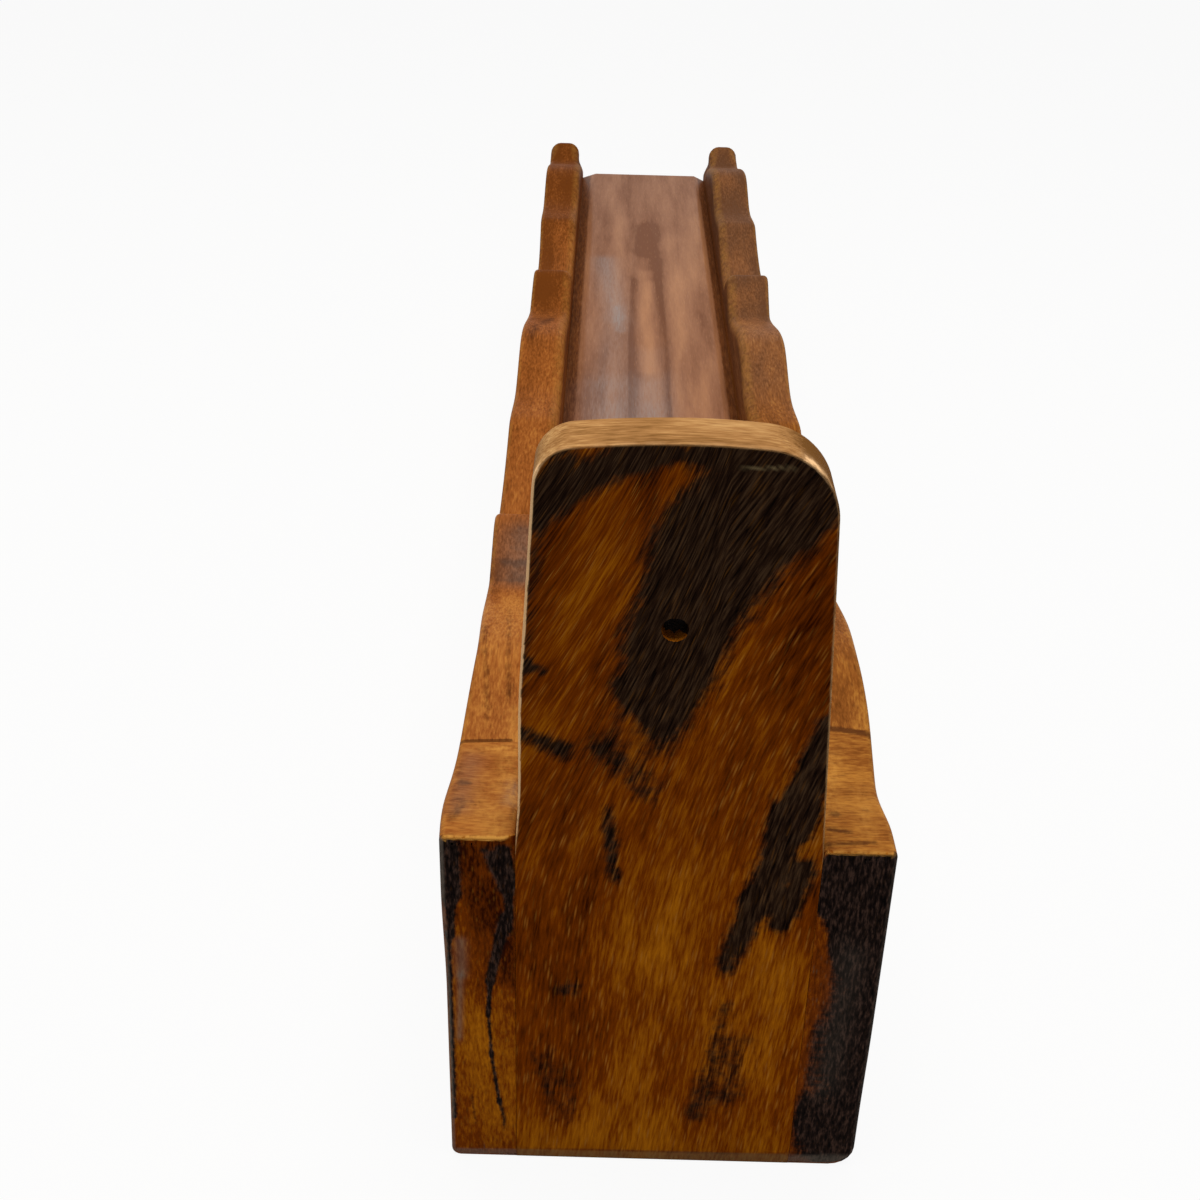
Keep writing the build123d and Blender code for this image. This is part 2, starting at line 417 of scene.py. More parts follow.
def side_board(name, side, shape, marks):
    """A board as its rounded section carried along the holder, as high as the top edge at each place. Its
    outer face swells in and out as the sander left it, with a dimple over each pin. Behind the plate the
    grooves open, and above the tray the inner face steps in. The ends shrink to a seam, and the nose's
    inner corner is rounded in plan."""
    share_0, inset_0, setback_0 = end_rows(end_arris, front_end_steps)
    share_1, inset_1, setback_1 = (part[::-1] for part in end_rows(tip_arris, far_end_steps))
    spaced = np.linspace(board_margins[0], board_length - board_margins[1], board_rows)
    near_nose = np.linspace(board_margins[0], nose_rows_reach, nose_rows)
    near_joint = (plate_thickness - joint_step, plate_thickness)
    near_crease = marks["crease"] + np.linspace(-crease_reach, crease_reach, crease_rows)
    near_pins = [around(place - front_y) for place, _ in pin_places]
    body = np.concatenate([spaced, near_nose, near_joint, near_crease, *near_pins])
    body = np.unique(np.round(np.clip(body, spaced[0], spaced[-1]), station_digits))
    station = np.concatenate([setback_0, body, board_length - setback_1])[:, None]
    share = np.concatenate([share_0, np.ones_like(body), share_1])[:, None]
    inset = np.concatenate([inset_0, np.zeros_like(body), inset_1])[:, None]
    is_front = (np.arange(len(station)) <= front_end_steps)[:, None]
    beside = station < plate_thickness
    behind = ~beside

    across, base, up, face_x, face_z, notch = board_section()
    half = (outer_half - inner_half) / 2
    outside, inside = smooth_step(0.0, 1.0, across), smooth_step(0.0, -1.0, across)
    raised = smooth_step(0.0, 1.0, up)
    tip_start, tip_stop = (board_length - reach for reach in tip_round_reach)
    tip = smooth_step(tip_start, tip_stop, station) * raised
    foot = smooth_step(foot_reach, 0.0, station) * outside * (up == 0)
    joint = inside * (face_z < 0) * beside
    inner = inside * raised * behind * (1.0 - tip)
    edge = board_arris + tip_round * tip + shape["foot_round"] * foot + inner_round * inner
    edge = edge + (joint_arris - board_arris) * joint
    base = np.where(face_z < 0, edge, np.maximum(base, edge * (up == 0)))
    inset = inset * (1.0 + joint_sharpness * face_x * beside)
    top = top_edge(station) + shape["nose_lift"] * hump(station, 0.0, nose_lift_reach)
    x = across * (half - edge) + face_x * (edge - inset) + notch * groove_depth * behind
    x = x * share
    z = base + up * (top - edge - base) + face_z * (edge - inset)
    mitre = end_mitre * (1.0 - share)
    z = np.clip(z, z.min(axis=1, keepdims=True) + mitre, z.max(axis=1, keepdims=True) - mitre)
    z[0], z[-1] = seam_heights(z[0]), seam_heights(z[-1])

    taper_start, taper_stop = (board_length - reach for reach in tip_taper_reach)
    taper = tip_taper * smooth_step(taper_start, taper_stop, station)
    taper = taper * smooth_step(tray_top, tray_top + tip_taper_rise, z)
    closer = shape["inner_swell"] * behind * smooth_step(tray_bottom, tongue_top, z)
    step_in = (closer - taper) * smooth_step(half, -half, x) * (1.0 - notch * share)
    x = half + inner_half + x + outer_swell(shape, station, z) * smooth_step(-half, half, x) - step_in
    for place, height in pin_places:
        reach = np.hypot(station - (place - front_y), z - height) - pin_radius - pin_hole_clearance
        x = x + (pin_head_x - dimple_depth - x) * smooth_step(*dimple_edge, reach) * (face_x == 1.0)
    corner = shape["nose_corner"]
    reach = np.clip(inner_half + corner - x, 0.0, corner)
    fade_low, fade_high = (top - depth for depth in nose_corner_fade)
    rounded = (corner - np.sqrt(corner**2 - reach**2)) * smooth_step(fade_low, fade_high, z)
    x = side * x
    y = front_y + np.maximum(np.maximum(station, rounded), toe(x, z))
    points = stacked(x, y, z)

    is_end = is_front | ((station <= end_arris) & (np.abs(face_x) > sideways))
    end = np.where(is_end, top - z, rounded - station)
    near_top = smooth_step(*(rim_height - depth for depth in top_marks_fade), z)
    on_top = strokes(x, station, marks["top"]) * near_top
    on_side = strokes(station, z, marks["side"]) * np.abs(face_x)
    heart_and_shade = np.where(is_end, strokes(x, z, marks["end"]), on_top + on_side)
    far = far_darkening * smooth_step(*far_darkening_reach, station)
    top_tone = strokes(x, station, marks["tone"]) * near_top - far
    tone = np.where(is_end, strokes(x, z, marks["end_tone"]), top_tone)
    # painted highlight along the front top edge
    lip = marks["lip"] * hump(station - rounded, *lip_place) * smooth_step(*lip_facing, face_z)
    lip = lip * (share == 1.0)
    rub = strokes(x, station, marks["rub"]) * smooth_step(*rub_facing, face_z)
    wear_and_highlight = (np.abs(face_x * face_z) * edge_wear + rub) * ~is_end + lip
    # painted reflection of the white surroundings on the outer front edge
    outer_edge_reflection = marks["outer_edge_reflection"] * hump(station, *outer_edge_reflection_place) * (face_x > outwards) * ~is_front
    sole = smooth_step(*board_sole_fade, toe(x, z) / toe_depth) * is_front
    # painted highlights on the tops and ends, the painted reflection on the outer front edge, and the grey
    # of the worn bevel
    top_highlights = strokes(x, station, marks["top_highlights"]) * near_top
    film_and_sheen = np.where(is_end, strokes(x, z, marks["end_highlights"]), top_highlights) + outer_edge_reflection + sole
    on_nose = (station < marks["crease"]) & (face_z > upwards)
    grain = np.where(on_nose[..., None], stacked(y, z, cross_grain_stretch * x), stacked(x, z, y))
    grain = np.where(is_end[..., None], stacked(x, y, end_grain_stretch * z), grain)
    fields = {"end": end, "heart_and_shade": heart_and_shade, "tone": tone, "wear_and_highlight": wear_and_highlight, "film_and_sheen": film_and_sheen, "grain": grain}
    if side < 0:
        points = points[:, ::-1]
        fields = {key: values[:, ::-1] for key, values in fields.items()}
    return skin(name, points, fields)


def plate_outline():
    """Outline of the plate, once round from the bottom: up the right edge, in along the taper, round a
    corner that touches the taper and the crown, over the crown, and the same way down the left edge."""
    top_half = plate_top_width / 2
    shoulder = plate_height - plate_crown
    crown_radius = (top_half**2 + plate_crown**2) / (2 * plate_crown)
    crown_z = plate_height - crown_radius
    rim = np.array([inner_half, rim_height])
    lean = np.array([top_half, shoulder]) - rim
    lean /= np.hypot(*lean)
    out = np.array([lean[1], -lean[0]])

    def corner(radius):
        """Corner circle: its centre lies a radius inside the taper and the same inside the crown."""
        base = rim - radius * out - (0.0, crown_z)
        along = -(base @ lean) + np.sqrt((base @ lean) ** 2 - base @ base + (crown_radius - radius) ** 2)
        centre = base + along * lean
        return centre + (0.0, crown_z), np.arctan2(out[1], out[0]), np.arctan2(centre[1], centre[0])

    def edge(radius, sign, arc_points):
        """One edge from the bottom to the crown, and the angle at which it meets the crown."""
        centre, start, stop = corner(radius)
        turn = np.linspace(start, stop, arc_points)
        arc = centre + radius * stacked(np.cos(turn), np.sin(turn))
        foot = stacked(inner_half, np.linspace(0.0, rim_height, plate_foot_points, endpoint=False))
        taper = rim + (arc[0] - rim) * np.linspace(0.0, 1.0, plate_taper_points, endpoint=False)[:, None]
        return np.concatenate([foot, taper, arc]) * (sign, 1.0), np.pi / 2 + sign * (stop - np.pi / 2)

    right, right_turn = edge(plate_right_radius, 1.0, plate_right_arc_points)
    left, left_turn = edge(plate_left_radius, -1.0, plate_left_arc_points)
    turn = np.linspace(right_turn, left_turn, plate_crown_points)[1:-1]
    crown = stacked(crown_radius * np.cos(turn), crown_z + crown_radius * np.sin(turn))
    sole_x = np.linspace(-inner_half, inner_half, plate_sole_points)[1:-1]
    return np.concatenate([stacked(sole_x, 0.0), right, crown, left[::-1]])


# Hole of the plate: how far its rim is broken out, as waves of a size, a count round the hole and a turn,
# how far the bore keeps from both faces, and how deep light falls into its lower side, with a ragged edge,
# then the painted shade that darkens the bore beyond that and the painted light that lightens the bore
hole_chips = ((0.03, 3, 0.6), (0.02, 7, 0.0), (0.02, 13, 2.0))
hole_lip = 0.03
chipped_share = 0.5
bore_ease = 0.1
lit_depth = 2.3
lit_side = (-0.05, -0.8)
lit_turn = 0.25
lit_ragged = (0.25, 9.0)
lit_fade = (-0.3, 0.1)
hole_shade = 3.0
hole_light = 0.1

# Looks of the plate: where a pale line runs along its eased edges, above the boards and below the top,
# and how much on the left, on the right and everywhere: on the left and right a painted highlight, and a
# little rub everywhere. Then how the worn bevel is tinted, and how the grain leans and then bends over to
# the right
edge_line_from = (-1.0, 14.0)
edge_line_below_top = (-1.5, -6.5)
left_edge_highlight = 9.0
right_edge_highlight = 0.3
rubbed_all = 0.15
edge_line_place = (-0.1, 0.14)
scuff_rim = 0.1
scuff_place = (0.6, 1.0)
plate_sole_fade = (0.05, 0.3)
sole_line = 0.5
grain_lean = 0.10
grain_bend_from = 39.0
grain_bend = 0.0042
grain_fan = 0.0003
grain_fan_x = 4.0

# The plate's edge field tells how far a place lies inside the eased edge. Within this distance of a face
# it counts as on it, and the joint and the hole count as this far inside.
flush = 1e-6
on_face = 1.0
far_from_edge = 9.0


def stick_plate(name, marks):
    """The plate as one ring-shaped surface: from the rim of the stick hole out over the front to the
    outline, round the eased edge, back over the rear face to the hole, and through the hole to the
    front."""
    outline = plate_outline()
    spread = smooth_step(*spread_heights, outline[:, 1]) * smooth_step(*spread_across, outline[:, 0])
    outline[:, 0] -= plate_left_spread * spread
    along = np.roll(outline, -1, axis=0) - np.roll(outline, 1, axis=0)
    normal = stacked(along[:, 1], -along[:, 0]) / np.hypot(along[:, 0], along[:, 1])[:, None]
    above_boards = smooth_step(*(rim_height + rise for rise in joint_fade), outline[:, 1])
    front_arris, back_arris = (
        joint_arris + (arris - joint_arris) * above_boards for arris in (plate_front_arris, plate_back_arris)
    )
    angle = np.arctan2(outline[:, 1] - hole_z, outline[:, 0] - hole_x)
    chip = sum(size * np.sin(count * angle + turn) for size, count, turn in hole_chips)
    spoke = stacked(np.cos(angle), np.sin(angle))
    hole = np.array([hole_x, hole_z])

    def face_row(t, arris):
        """A row on a face, a share t of the way from the chipped rim of the hole to the eased edge."""
        lip = hole + spoke * (hole_radius + hole_lip + chip * (t < chipped_share))[:, None]
        return lip + (outline - normal * arris[:, None] - lip) * t

    def eased_row(turn, arris):
        """A row on the eased edge, at an angle from the face towards the side."""
        return outline - normal * (arris * (1 - np.sin(turn)))[:, None], arris * (1 - np.cos(turn))

    rows = []
    flat = np.zeros(len(outline))
    spaced = np.linspace(0.0, 1.0, plate_front_rows) ** plate_row_crowding
    near_edge = np.linspace(*plate_edge_band, plate_edge_rows)
    for t in np.unique(np.concatenate([spaced, near_edge])):
        rows.append((face_row(t, front_arris), flat))
    for turn in quarter[1:]:
        rows.append(eased_row(turn, front_arris))
    for t in np.linspace(0.0, 1.0, plate_side_rows)[1:-1]:
        rows.append((outline, front_arris + (plate_thickness - back_arris - front_arris) * t))
    for turn in quarter[::-1]:
        place, depth = eased_row(turn, back_arris)
        rows.append((place, plate_thickness - depth))
    for t in np.linspace(1.0, 0.0, plate_back_rows)[1:]:
        rows.append((face_row(t, back_arris), flat + plate_thickness))
    for t in np.linspace(1.0, 0.0, hole_rows):
        rows.append((hole + spoke * hole_radius, flat + bore_ease + (plate_thickness - 2 * bore_ease) * t))
    x, z = (np.stack([row[0][:, k] for row in rows]) for k in (0, 1))
    back = np.stack([row[1] for row in rows])
    y = front_y + np.maximum(back, toe(x, z))
    points = stacked(x, y, z)

    to_edge = np.hypot(x - outline[:, 0], z - outline[:, 1])
    depth = np.minimum(back, plate_thickness - back)
    is_front = back < plate_thickness / 2
    rim = np.where(depth < flush, to_edge - np.where(is_front, front_arris, back_arris), -depth)
    in_hole = np.arange(len(rows))[:, None] >= len(rows) - hole_rows
    rim = np.where(in_hole, far_from_edge, rim)
    ragged, count = lit_ragged
    lit = lit_depth * smooth_step(*lit_side, np.sin(angle + lit_turn)) + ragged * np.sin(count * angle)
    unlit = smooth_step(lit + lit_fade[0], lit + lit_fade[1], back)
    # painted shade deep in the stick hole, beyond the lower side that the light reaches
    heart_and_shade = np.where(in_hole, hole_shade * unlit, strokes(x, z, marks["heart_and_shade"]))
    is_above = z > rim_height + edge_line_from[0]
    side_edge = smooth_step(*(rim_height + rise for rise in edge_line_from), z)
    side_edge = side_edge * smooth_step(*edge_line_below_top, z - plate_height)
    # pale line along the eased edges: a painted highlight on the left and right, and a little rub everywhere
    wear_and_highlight = rubbed_all + np.where(x < 0, left_edge_highlight, right_edge_highlight) * side_edge
    wear_and_highlight = wear_and_highlight * hump(rim, *edge_line_place) * is_above
    wear_and_highlight = wear_and_highlight + strokes(x, z, marks["scuffs"]) * (rim < scuff_rim) * hump(back, *scuff_place)
    wear_and_highlight = np.where(in_hole, 0.0, wear_and_highlight)
    sole = smooth_step(*plate_sole_fade, toe(x, z) / toe_depth)
    # painted light in the bore
    tone = strokes(x, z, marks["tone"]) + hole_light * in_hole
    # painted shade over the top right corner
    tone = tone + strokes(x, z, marks["top_corner_shade"]) * (rim < 0.0)
    tone = tone - sole_line * sole * (1.0 - sole)
    film_and_sheen = sole + strokes(x, z, marks["scratch"]) * (rim > 0.0)
    bend = np.clip(z - grain_bend_from, 0.0, None) ** 2
    lean = grain_lean * z + bend * (grain_bend + grain_fan * np.clip(grain_fan_x - x, 0.0, None))
    grain = np.where((rim < 0.0)[..., None], stacked(y, z, x), stacked(x - lean, y, z))
    end = np.where(is_above, rim, on_face)
    fields = {"end": end, "heart_and_shade": heart_and_shade, "tone": tone, "wear_and_highlight": wear_and_highlight, "film_and_sheen": film_and_sheen, "grain": grain}
    return skin(name, points, fields, wrap_rows=True)


# Looks of the tray: painted shade that darkens the bevels in the corners beside the boards, over a share
# of their width, and a soft painted shade near the flute's edges
bevel_shade = 1.1
bevel_shade_fade = (0.15, 0.6)
flute_shade = 0.08
flute_shade_depth = (0.35, 0.4)
flute_start = 0.01


def tray_panel(name, marks):
    """The tray floor as its section carried along the holder: tongue, bevel and flat field, with the flute
    sunk into the field as a round cutter on a long arc leaves it. The ends shrink to a seam."""
    share_0, _, setback_0 = end_rows(tray_front_arris, far_end_steps)
    share_1, inset_1, setback_1 = (part[::-1] for part in end_rows(tip_arris, far_end_steps))
    length = back_y - plate_back_y
    body = np.linspace(tray_margins[0], length - tray_margins[1], tray_rows)
    station = np.concatenate([setback_0, body, length - setback_1])[:, None]
    share = np.concatenate([share_0, np.ones_like(body), share_1])[:, None]
    inset = np.concatenate([0 * share_0, 0 * body, inset_1])[:, None]

    field_half = inner_half - tray_bevel_width
    field = np.linspace(-field_half, field_half, tray_field_points)
    tongue = np.linspace(panel_half, inner_half, tray_tongue_points)[:-1]
    bevel = inner_half - np.linspace(0.0, tray_bevel_width, tray_bevel_points)[:-1]
    under = np.linspace(panel_half, -panel_half, tray_under_points)
    x = np.concatenate([-tongue, -bevel, field, bevel[::-1], tongue[::-1], under])
    is_under = np.arange(len(x)) >= len(x) - len(under)
    flank = np.clip((np.abs(x) - field_half) / tray_bevel_width, 0.0, 1.0)
    left_inner, right_inner = (inner_half - shape["inner_swell"] for shape in (LEFT_SHAPE, RIGHT_SHAPE))
    even = (-panel_half, -inner_half, -field_half, field_half, inner_half, panel_half)
    made = (-left_inner, tray_left_bevel - left_inner, right_inner - tray_right_bevel, right_inner)
    x = np.interp(x, even, (-panel_half, *made, panel_half))
    reach = panel_half - end_mitre * (1.0 - share)
    x = np.clip(x, -reach, reach)
    seam = np.linspace(x[0].min(), x[0].max(), seam_steps)
    x[0], x[-1] = nearest(seam, x[0]), nearest(seam, x[-1])

    middle = length / 2
    lift = flute_depth * ((station - middle) / (middle - flute_end_margin)) ** 2
    bowl = flute_cutter_radius - np.sqrt(np.clip(flute_cutter_radius**2 - x**2, 0.0, None))
    sink = np.clip(flute_depth - lift - bowl, 0.0, None) * (np.abs(x) < flute_cutter_radius)
    top = tray_top - tray_bevel_depth * flank - sink
    mid = (tray_bottom + tongue_top) / 2
    z = mid + (np.where(is_under, tray_bottom + inset, top - inset) - mid) * share
    y = plate_back_y + station
    points = stacked(x, y, z)

    # painted shade on the bevels, in the corners beside the boards
    heart_and_shade = bevel_shade * smooth_step(*bevel_shade_fade, flank) + 0 * z
    tone, film_and_sheen = (strokes(x, station, marks[key]) for key in ("tone", "film_and_sheen"))
    tone = tone - flute_shade * hump(sink, *flute_shade_depth) * (sink > flute_start)
    fields = {"heart_and_shade": heart_and_shade, "film_and_sheen": film_and_sheen, "tone": tone, "wear_and_highlight": 0 * z, "grain": stacked(x, z, y)}
    return skin(name, points[:, ::-1], {key: values[:, ::-1] for key, values in fields.items()})


# Marks in the wood, as strokes: two ends, half width and strength. On the plate and the board ends they run
# over X and Z, on the board tops over X and the distance from the front, on the board sides over that
# distance and Z, and on the tray over X and the distance from the plate. Heart strokes darken to heartwood,
# tone strokes shift the ground colour, a few of them as painted shade, and film and sheen strokes lay a
# greyish film, which on the tray is a painted sheen and on the boards' ends and tops painted highlights.
PLATE_MARKS = {
    "heart_and_shade": [
        (11.0, 98.2, 3.4, 89.0, 6.2, 1.45),
        (3.4, 89.0, -0.4, 78.0, 5.2, 1.3),
        (-0.4, 78.0, -2.2, 70.0, 4.0, 0.85),
        (0.6, 73.0, -1.6, 65.0, 2.8, 0.55),
        (14.5, 97.0, 10.5, 93.0, 3.2, 0.9),
        (-2.4, 69.5, -5.4, 71.8, 1.7, 0.65),
        (16.8, 67.0, 13.4, 55.0, 2.3, 1.5),
        (13.2, 55.0, 10.6, 44.0, 2.0, 1.1),
        (15.4, 48.0, 13.2, 40.0, 1.5, 0.85),
        (9.8, 43.0, 7.4, 33.0, 1.6, 0.85),
        (-16.6, 65.6, -12.2, 63.6, 1.5, 0.95),
        (-16.4, 74.4, -14.2, 73.6, 0.8, 0.7),
        (-7.5, 64.0, -2.8, 58.5, 2.4, 0.6),
        (-7.1, 55.5, -6.0, 46.0, 1.1, 0.75),
        (7.6, 27.0, 6.8, 20.0, 1.9, 0.56),
        (6.4, 17.0, 5.2, 9.0, 2.1, 0.56),
        (10.6, 21.0, 9.2, 12.0, 2.2, 0.5),
        (15.4, 54.0, 11.4, 38.0, 3.6, 0.3),
        (-14.0, 17.0, -11.0, 8.0, 3.2, 0.5),
        (-11.6, 29.0, -10.6, 29.2, 1.0, 0.7),
        (-15.0, 93.0, -6.0, 98.2, 2.4, 0.95),
        (-15.8, 92.0, -12.5, 98.5, 1.8, 0.75),
        (-6.0, 98.6, 8.0, 99.2, 1.3, 0.85),
        (-16.4, 71.0, -14.8, 93.0, 1.2, 0.5),
    ],
    "tone": [
        (-4.0, 98.0, -2.5, 89.0, 3.0, -0.09),
        (-15.0, 91.0, -15.0, 71.0, 3.0, -0.06),
        (12.0, 87.0, 14.0, 67.0, 4.0, -0.09),
        (3.0, 46.0, -3.0, 10.0, 7.0, 0.05),
        (14.0, 33.0, 12.0, 5.0, 4.0, 0.05),
        (-15.0, 3.0, 15.0, 3.0, 5.0, 0.08),
        (-10.0, 45.0, -12.0, 31.0, 4.0, -0.03),
        (-14.0, 17.0, -11.0, 7.0, 4.0, -0.07),
    ],
    # painted shade over the top right corner
    "top_corner_shade": [(16.8, 89.0, 13.0, 98.0, 2.0, -0.35)],
    "scuffs": [(11.3, 98.7, 14.0, 96.6, 0.5, 2.0)],
    "scratch": [(4.7, 97.4, 10.0, 97.6, 0.12, 1.6)],
}
LEFT_MARKS = {
    "crease": 21.4,
    # strengths of the painted reflection on the outer front edge and the painted highlight along the front
    # top edge
    "outer_edge_reflection": 1.0,
    "lip": 1.2,
    "rub": [
        (-19.4, 1.5, -20.2, 6.0, 1.6, 0.45),
        (-22.6, 4.0, -21.0, 14.0, 1.8, 0.2),
        (-18.6, 9.0, -19.4, 19.0, 1.2, 0.35),
        (-24.0, 19.8, -19.0, 20.4, 0.5, 0.5),
        (-18.4, 26.0, -18.2, 22.5, 0.9, 0.4),
    ],
    "end": [
        (-24.8, 49.8, -24.5, 43.0, 1.15, 1.7),
        (-24.6, 43.0, -24.7, 37.0, 0.6, 1.2),
        (-24.9, 37.0, -24.9, 7.0, 0.4, 0.95),
        (-18.6, 49.2, -18.2, 44.5, 1.1, 1.3),
        (-20.7, 49.6, -19.4, 46.5, 0.8, 0.75),
        (-18.0, 46.0, -17.9, 40.0, 0.6, 1.1),
        (-18.5, 39.5, -20.2, 30.0, 0.6, 1.3),
        (-20.2, 30.0, -20.5, 25.0, 0.35, 0.95),
        (-20.5, 25.0, -20.2, 18.0, 0.32, 0.85),
        (-20.2, 18.0, -19.3, 10.0, 0.32, 0.85),
        (-19.3, 10.0, -18.3, 5.0, 0.35, 0.8),
        (-22.7, 11.0, -22.3, 6.0, 0.3, 0.5),
    ],
    "end_tone": [
        (-22.0, 49.0, -20.0, 41.0, 3.5, -0.14),
        (-18.5, 36.0, -18.2, 30.0, 1.2, -0.1),
        (-22.0, 24.0, -19.0, 8.0, 4.0, 0.11),
    ],
    # painted highlights: a grey gloss streak near the outer edge of the end
    "end_highlights": [(-23.6, 36.0, -23.6, 31.0, 0.7, 0.8), (-23.7, 31.0, -24.0, 20.5, 0.4, 0.8)],
    "top": [
        (-17.2, 67.0, -23.5, 67.0, 0.9, 0.85),
        (-17.2, 69.9, -23.0, 69.9, 0.9, 0.85),
        (-17.2, 72.9, -22.0, 72.9, 0.8, 0.75),
        (-17.2, 75.8, -21.0, 75.8, 0.8, 0.75),
        (-24.4, 12.5, -23.4, 12.9, 0.5, 0.7),
        (-22.4, 7.5, -21.2, 9.0, 0.9, 0.4),
        (-20.2, 12.5, -19.4, 14.5, 0.8, 0.4),
        (-24.2, 4.0, -23.4, 8.5, 0.7, 0.45),
        (-25.4, 21.2, -19.0, 21.6, 0.22, 2.0),
        (-24.8, 3.0, -24.6, 17.0, 0.9, 0.4),
        (-17.8, 4.0, -17.6, 16.0, 0.6, 0.6),
        (-24.0, 46.0, -22.2, 25.0, 0.6, 0.52),
        (-21.2, 54.0, -19.7, 28.0, 0.6, 0.5),
        (-23.6, 150.0, -19.6, 170.0, 1.6, 0.5),
    ],
    # painted highlights: grey patches where the tops catch the light
    "top_highlights": [
        (-20.0, 68.0, -20.0, 74.0, 4.0, 0.6),
        (-24.0, 6.0, -23.6, 18.0, 1.6, 0.35),
        (-18.4, 8.0, -18.2, 13.0, 0.9, 0.6),
    ],
    "tone": [
        (-21.3, 2.0, -21.3, 14.0, 5.0, 0.02),
        (-20.0, 0.0, -20.0, 5.0, 2.5, 0.05),
        (-21.3, 28.0, -21.3, 55.0, 6.0, 0.07),
        # darker over the steps, partly painted shade on their faces turned to the front
        (-21.3, 69.0, -21.3, 75.0, 5.0, -0.13),
        (-21.3, 182.0, -21.3, 192.0, 5.0, -0.11),
        (-21.3, 240.0, -21.3, 300.0, 30.0, -0.09),
    ],
    "side": [
        (0.0, 42.0, 130.0, 36.0, 1.4, 0.8),
        (70.0, 22.0, 230.0, 27.0, 1.1, 0.72),
        (160.0, 42.0, 305.0, 34.0, 1.6, 0.76),
        (0.0, 8.0, 95.0, 12.0, 0.9, 0.7),
        (190.0, 9.0, 305.0, 6.0, 1.3, 0.72),
    ],
}
RIGHT_MARKS = {
    "crease": 24.8,
    # strengths of the painted reflection on the outer front edge and the painted highlight along the front
    # top edge
    "outer_edge_reflection": 0.2,
    "lip": 0.6,
    "rub": [(18.6, 9.0, 20.0, 20.0, 1.6, 0.35), (22.6, 4.0, 23.4, 14.0, 1.4, 0.25)],
    "end": [
        (22.0, 49.5, 21.8, 38.0, 3.2, 1.9),
        (21.8, 36.0, 21.2, 2.5, 3.4, 0.8),
        (24.8, 49.5, 24.6, 2.5, 1.6, 1.2),
        (18.2, 49.0, 18.2, 42.5, 1.2, 1.1),
        (17.7, 37.5, 17.9, 29.0, 1.4, -1.0),
        (17.5, 28.0, 17.4, 14.0, 0.8, -0.4),
        (18.4, 24.0, 18.2, 4.0, 1.2, 0.3),
        (19.0, 10.0, 22.0, 3.0, 1.8, 0.4),
    ],
    "end_tone": [(19.5, 34.0, 18.5, 9.0, 3.0, -0.04)],
    # painted highlight: a faint grey streak on the end
    "end_highlights": [(21.6, 35.0, 20.4, 14.0, 2.0, 0.2)],
    "top": [
        (17.2, 68.0, 25.4, 68.0, 2.0, 0.6),
        (17.2, 73.0, 25.4, 73.0, 1.6, 0.55),
        (17.2, 25.3, 25.4, 24.2, 0.5, 1.0),
        (17.5, 18.0, 24.0, 18.2, 0.25, 0.75),
        (17.5, 1.4, 23.0, 2.0, 0.6, 0.75),
        (18.5, 7.6, 19.6, 8.0, 0.4, 1.0),
        (22.6, 8.8, 23.2, 9.0, 0.4, 1.0),
        (18.2, 4.4, 20.5, 4.0, 0.5, 0.8),
    ],
    # painted highlights and sheen: grey over the step and the far part of the top
    "top_highlights": [(21.3, 68.0, 21.3, 76.0, 5.0, 0.3), (21.3, 140.0, 21.3, 300.0, 12.0, 0.3)],
    "tone": [
        (21.3, 2.0, 21.3, 18.0, 6.0, 0.08),
        (21.3, 32.0, 21.3, 56.0, 6.0, -0.05),
        # darker over the second step, partly painted shade on its face turned to the front
        (21.3, 182.0, 21.3, 192.0, 5.0, -0.07),
        (21.3, 220.0, 21.3, 300.0, 30.0, -0.06),
    ],
    "side": [
        (0.0, 31.0, 90.0, 37.0, 4.5, 0.8),
        (60.0, 37.0, 240.0, 31.0, 1.6, 0.76),
        (0.0, 12.0, 140.0, 16.0, 1.8, 0.74),
        (150.0, 14.0, 305.0, 20.0, 1.2, 0.72),
        (210.0, 41.0, 305.0, 39.0, 1.0, 0.7),
    ],
}
TRAY_MARKS = {
    "tone": [
        # painted shade on the flute's far end, which faces the front, and along its edges
        (-0.4, 232.0, 0.6, 250.0, 3.2, -0.28),
        (1.6, 214.0, 2.0, 230.0, 2.2, -0.14),
        (-3.0, 70.0, -3.8, 128.0, 1.2, -0.08),
        (-3.8, 128.0, -2.8, 212.0, 1.3, -0.14),
        (3.0, 70.0, 3.5, 128.0, 1.2, -0.08),
        (3.5, 128.0, 3.3, 225.0, 1.3, -0.17),
        (0.0, 160.0, 0.4, 218.0, 2.2, 0.17),
        (9.0, 130.0, 8.0, 240.0, 4.0, 0.06),
        (-9.0, 130.0, -9.0, 240.0, 4.0, -0.09),
        (0.0, 262.0, 0.0, 296.0, 14.0, -0.04),
    ],
    # painted sheen: the greyish reflection of the surroundings over the left half and near the plate
    "film_and_sheen": [
        (-9.6, 224.0, -6.6, 186.0, 2.8, 0.75),
        (-6.4, 192.0, -5.9, 178.0, 1.2, 0.6),
        (-7.0, 182.0, -8.0, 150.0, 3.5, 0.4),
        (-8.0, 146.0, -7.0, 118.0, 5.5, 0.6),
        (-7.0, 136.0, -6.0, 84.0, 4.0, 0.25),
        (0.0, 168.0, 1.0, 122.0, 3.6, 0.22),
        (0.0, 152.0, 1.0, 118.0, 4.5, 0.42),
        (1.0, 140.0, 1.0, 88.0, 3.0, 0.22),
    ],
}


def srgb(code):
    """Linear colour of a #rrggbb hex value."""
    value = np.array([int(code[k : k + 2], 16) for k in (1, 3, 5)]) / 255.0
    linear = np.where(value <= 0.04045, value / 12.92, ((value + 0.055) / 1.055) ** 2.4)
    return (*linear.tolist(), 1.0)


